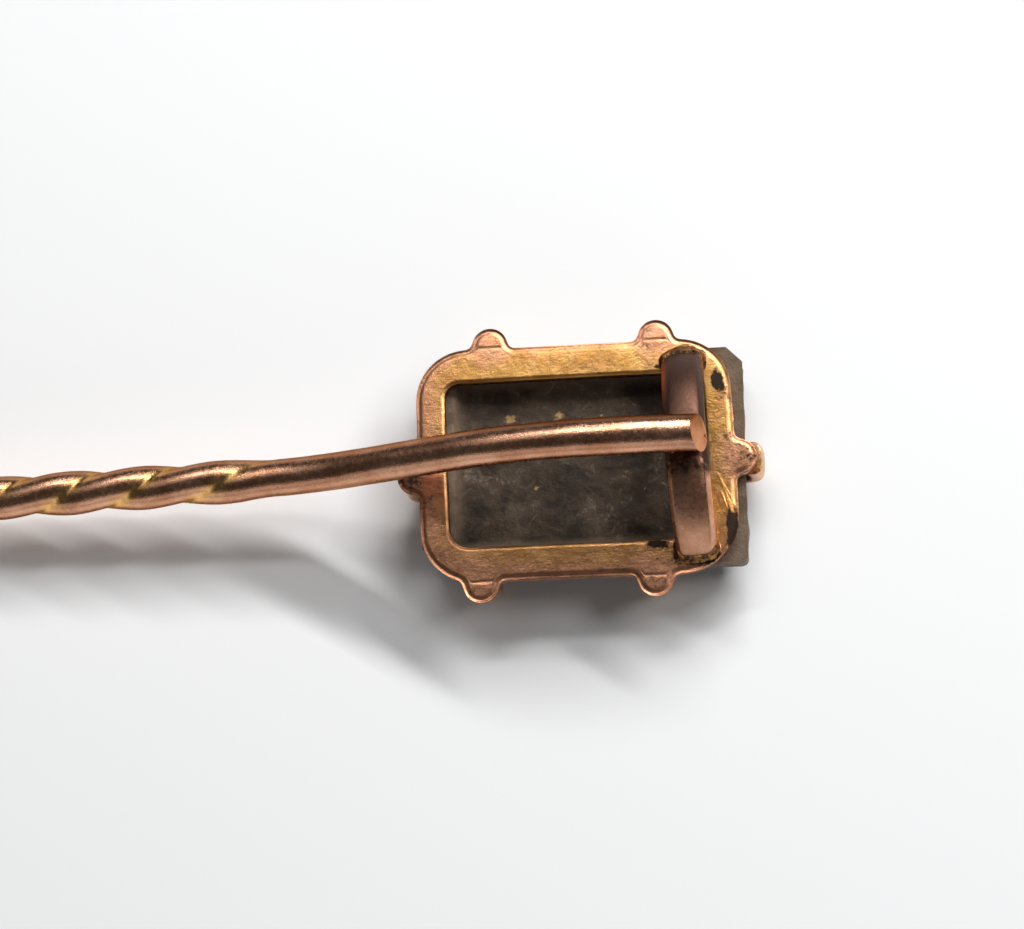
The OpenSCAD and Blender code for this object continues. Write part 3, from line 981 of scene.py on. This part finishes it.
def wire_tarnish_and_shade(s, a):
    """Tarnish beside the solder, and painted shade along the wire's upper back side, weaker from 5 to 10 mm
    along.
    """
    by_solder = 0.8 * np.exp(-((s - 0.75) / 0.35) ** 2)
    solder_side = np.clip(-np.sin(a + 0.6), 0, 1)
    # Painted shade, standing in for the dark reflection on the upper back side
    painted_shade = 0.85 - 0.45 * smooth_step(s, 5, 10)
    shaded_side = np.exp(-((a - 1.12) / 0.72) ** 4)
    return np.maximum(by_solder[:, None] * solder_side, painted_shade[:, None] * shaded_side)


def hand_drawn(p, centre, s, shank_start, around):
    """Dents and waves over the wire, as far as the shank."""
    dent = 0.010 * ripple(p, 1.6, 41) + 0.005 * ripple(p, 0.6, 42)
    out = (p - centre) / np.linalg.norm(p - centre, axis=1)[:, None]
    worn = (1 - smooth_step(s, shank_start - 1, shank_start + 1)).repeat(around)
    return p - out * ((0.012 + dent) * worn)[:, None]


def make_pin():
    around = 64
    ends = pin_line(np.array([0.0]))[3]
    s = pin_stations(ends[-1])
    x, z, pitch, _ = pin_line(s)
    a = np.linspace(0, 2 * math.pi, around, endpoint=False)
    radius, groove, shank_start = wire_radius(s, a, ends[4])
    up, across = radius * np.cos(a), radius * np.sin(a)
    px = x[:, None] + up * np.sin(pitch)[:, None]
    pz = z[:, None] + up * np.cos(pitch)[:, None]
    p = np.stack([px, across, pz], 2).reshape(-1, 3)
    centre = np.stack([x, 0 * x, z], 1).repeat(around, 0)
    p = hand_drawn(p, centre, s, shank_start, around)
    p = cut_end(p)
    p[:, :2] += [0, PIN_Y]
    p = turned(p, pin_pivot, pin_yaw)
    p = np.clip(p, pin_low, pin_high)
    looks = {"groove": groove.ravel(), "tarnish_and_shade": wire_tarnish_and_shade(s, a).ravel()}
    faces = tube_faces(len(s), around)
    piece = build_mesh("pin_wire", p, faces, materials["wire"], looks, sharp_angle=40)
    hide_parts("pin_stem")


make_plate()
make_stone()
make_claw("claw_top_left", 1, 1, 51)
make_claw("claw_top_right", 1, 1, 52)
make_claw("claw_bottom_left", 1, -1, 53)
make_claw("claw_bottom_right", 1, -1, 54)
make_claw("claw_left", 0, -1, 55)
make_claw("claw_right", 0, 1, 56)
make_strap()
make_foot_solder("strap_solder_top", 1, 61)
make_foot_solder("strap_solder_bottom", -1, 63)
make_stem_solder()
make_pin()


# ---------------------------------------------------------------- floor, light and camera

FLOOR_REACH_M = 2.0
FLOOR_COLOR = (0.86, 0.865, 0.87, 1)
ROOM_LIGHT = 0.05
# Each light as its name, place, aim and size in millimetres, and power in watts
LIGHTS = [("key", (120, 184, 172), (0, 0, 0), (270, 20), 0.92),
          ("softbox", (-30, 100, 160), (0, 0, 0), (220, 110), 0.050),
          ("strip", (-14, 108, 158), (0, 0, 0), (90, 18), 0.070),
          ("card", (0, -150, 50), (0, 0, 0), (320, 70), 0.046),
          ("right_fill", (150, 30, 165), (20, 0, 0), (60, 60), 0.08)]


def make_floor():
    mesh = bpy.data.meshes.new("floor")
    reach = FLOOR_REACH_M
    corners = [(-reach, -reach, 0), (reach, -reach, 0), (reach, reach, 0), (-reach, reach, 0)]
    mesh.from_pydata(corners, [], [(0, 1, 2, 3)])
    floor = bpy.data.objects.new("floor", mesh)
    bpy.context.collection.objects.link(floor)
    material = bpy.data.materials.new("floor")
    material.use_nodes = True
    shader = material.node_tree.nodes["Principled BSDF"]
    shader.inputs["Base Color"].default_value = FLOOR_COLOR
    shader.inputs["Roughness"].default_value = 0.6
    mesh.materials.append(material)


def area_light(name, at_mm, aim_mm, size_mm, watts):
    light = bpy.data.lights.new(name, "AREA")
    light.shape = "RECTANGLE"
    light.size, light.size_y = size_mm[0] * MM, size_mm[1] * MM
    light.energy = watts
    lamp = bpy.data.objects.new(name, light)
    lamp.location = Vector(at_mm) * MM
    lamp.rotation_euler = (Vector(aim_mm) - Vector(at_mm)).to_track_quat("-Z", "Y").to_euler()
    bpy.context.collection.objects.link(lamp)


def make_world():
    world = bpy.data.worlds.new("studio")
    world.use_nodes = True
    bpy.context.scene.world = world
    background = world.node_tree.nodes["Background"]
    background.inputs["Color"].default_value = (1, 1, 1, 1)
    background.inputs["Strength"].default_value = ROOM_LIGHT


def make_camera():
    """The photograph's angle: almost straight down, from a little toward -Y and +X."""
    view = Vector((0.135, -0.24, 0.9613)).normalized()
    aim = Vector((-2.138, -0.168, back_z))
    distance = 90.0
    seen_w = 31.8
    roll = -0.0132
    camera = bpy.data.cameras.new("camera")
    sensor_w = 36
    camera.sensor_width = sensor_w
    camera.lens = sensor_w * distance / seen_w
    camera.clip_start = 0.002
    camera.clip_end = 10
    camera.dof.use_dof = False
    obj = bpy.data.objects.new("camera", camera)
    right = Vector((0, 1, 0)).cross(view).normalized()
    up = view.cross(right)
    rolled_right = math.cos(roll) * right + math.sin(roll) * up
    rolled_up = math.cos(roll) * up - math.sin(roll) * right
    basis = Matrix((rolled_right, rolled_up, view)).transposed()
    obj.matrix_world = Matrix.Translation((aim + distance * view) * MM) @ basis.to_4x4()
    bpy.context.collection.objects.link(obj)
    bpy.context.scene.camera = obj


make_floor()
make_world()
for light in LIGHTS:
    area_light(*light)
make_camera()
bpy.context.scene.view_settings.view_transform = "Standard"
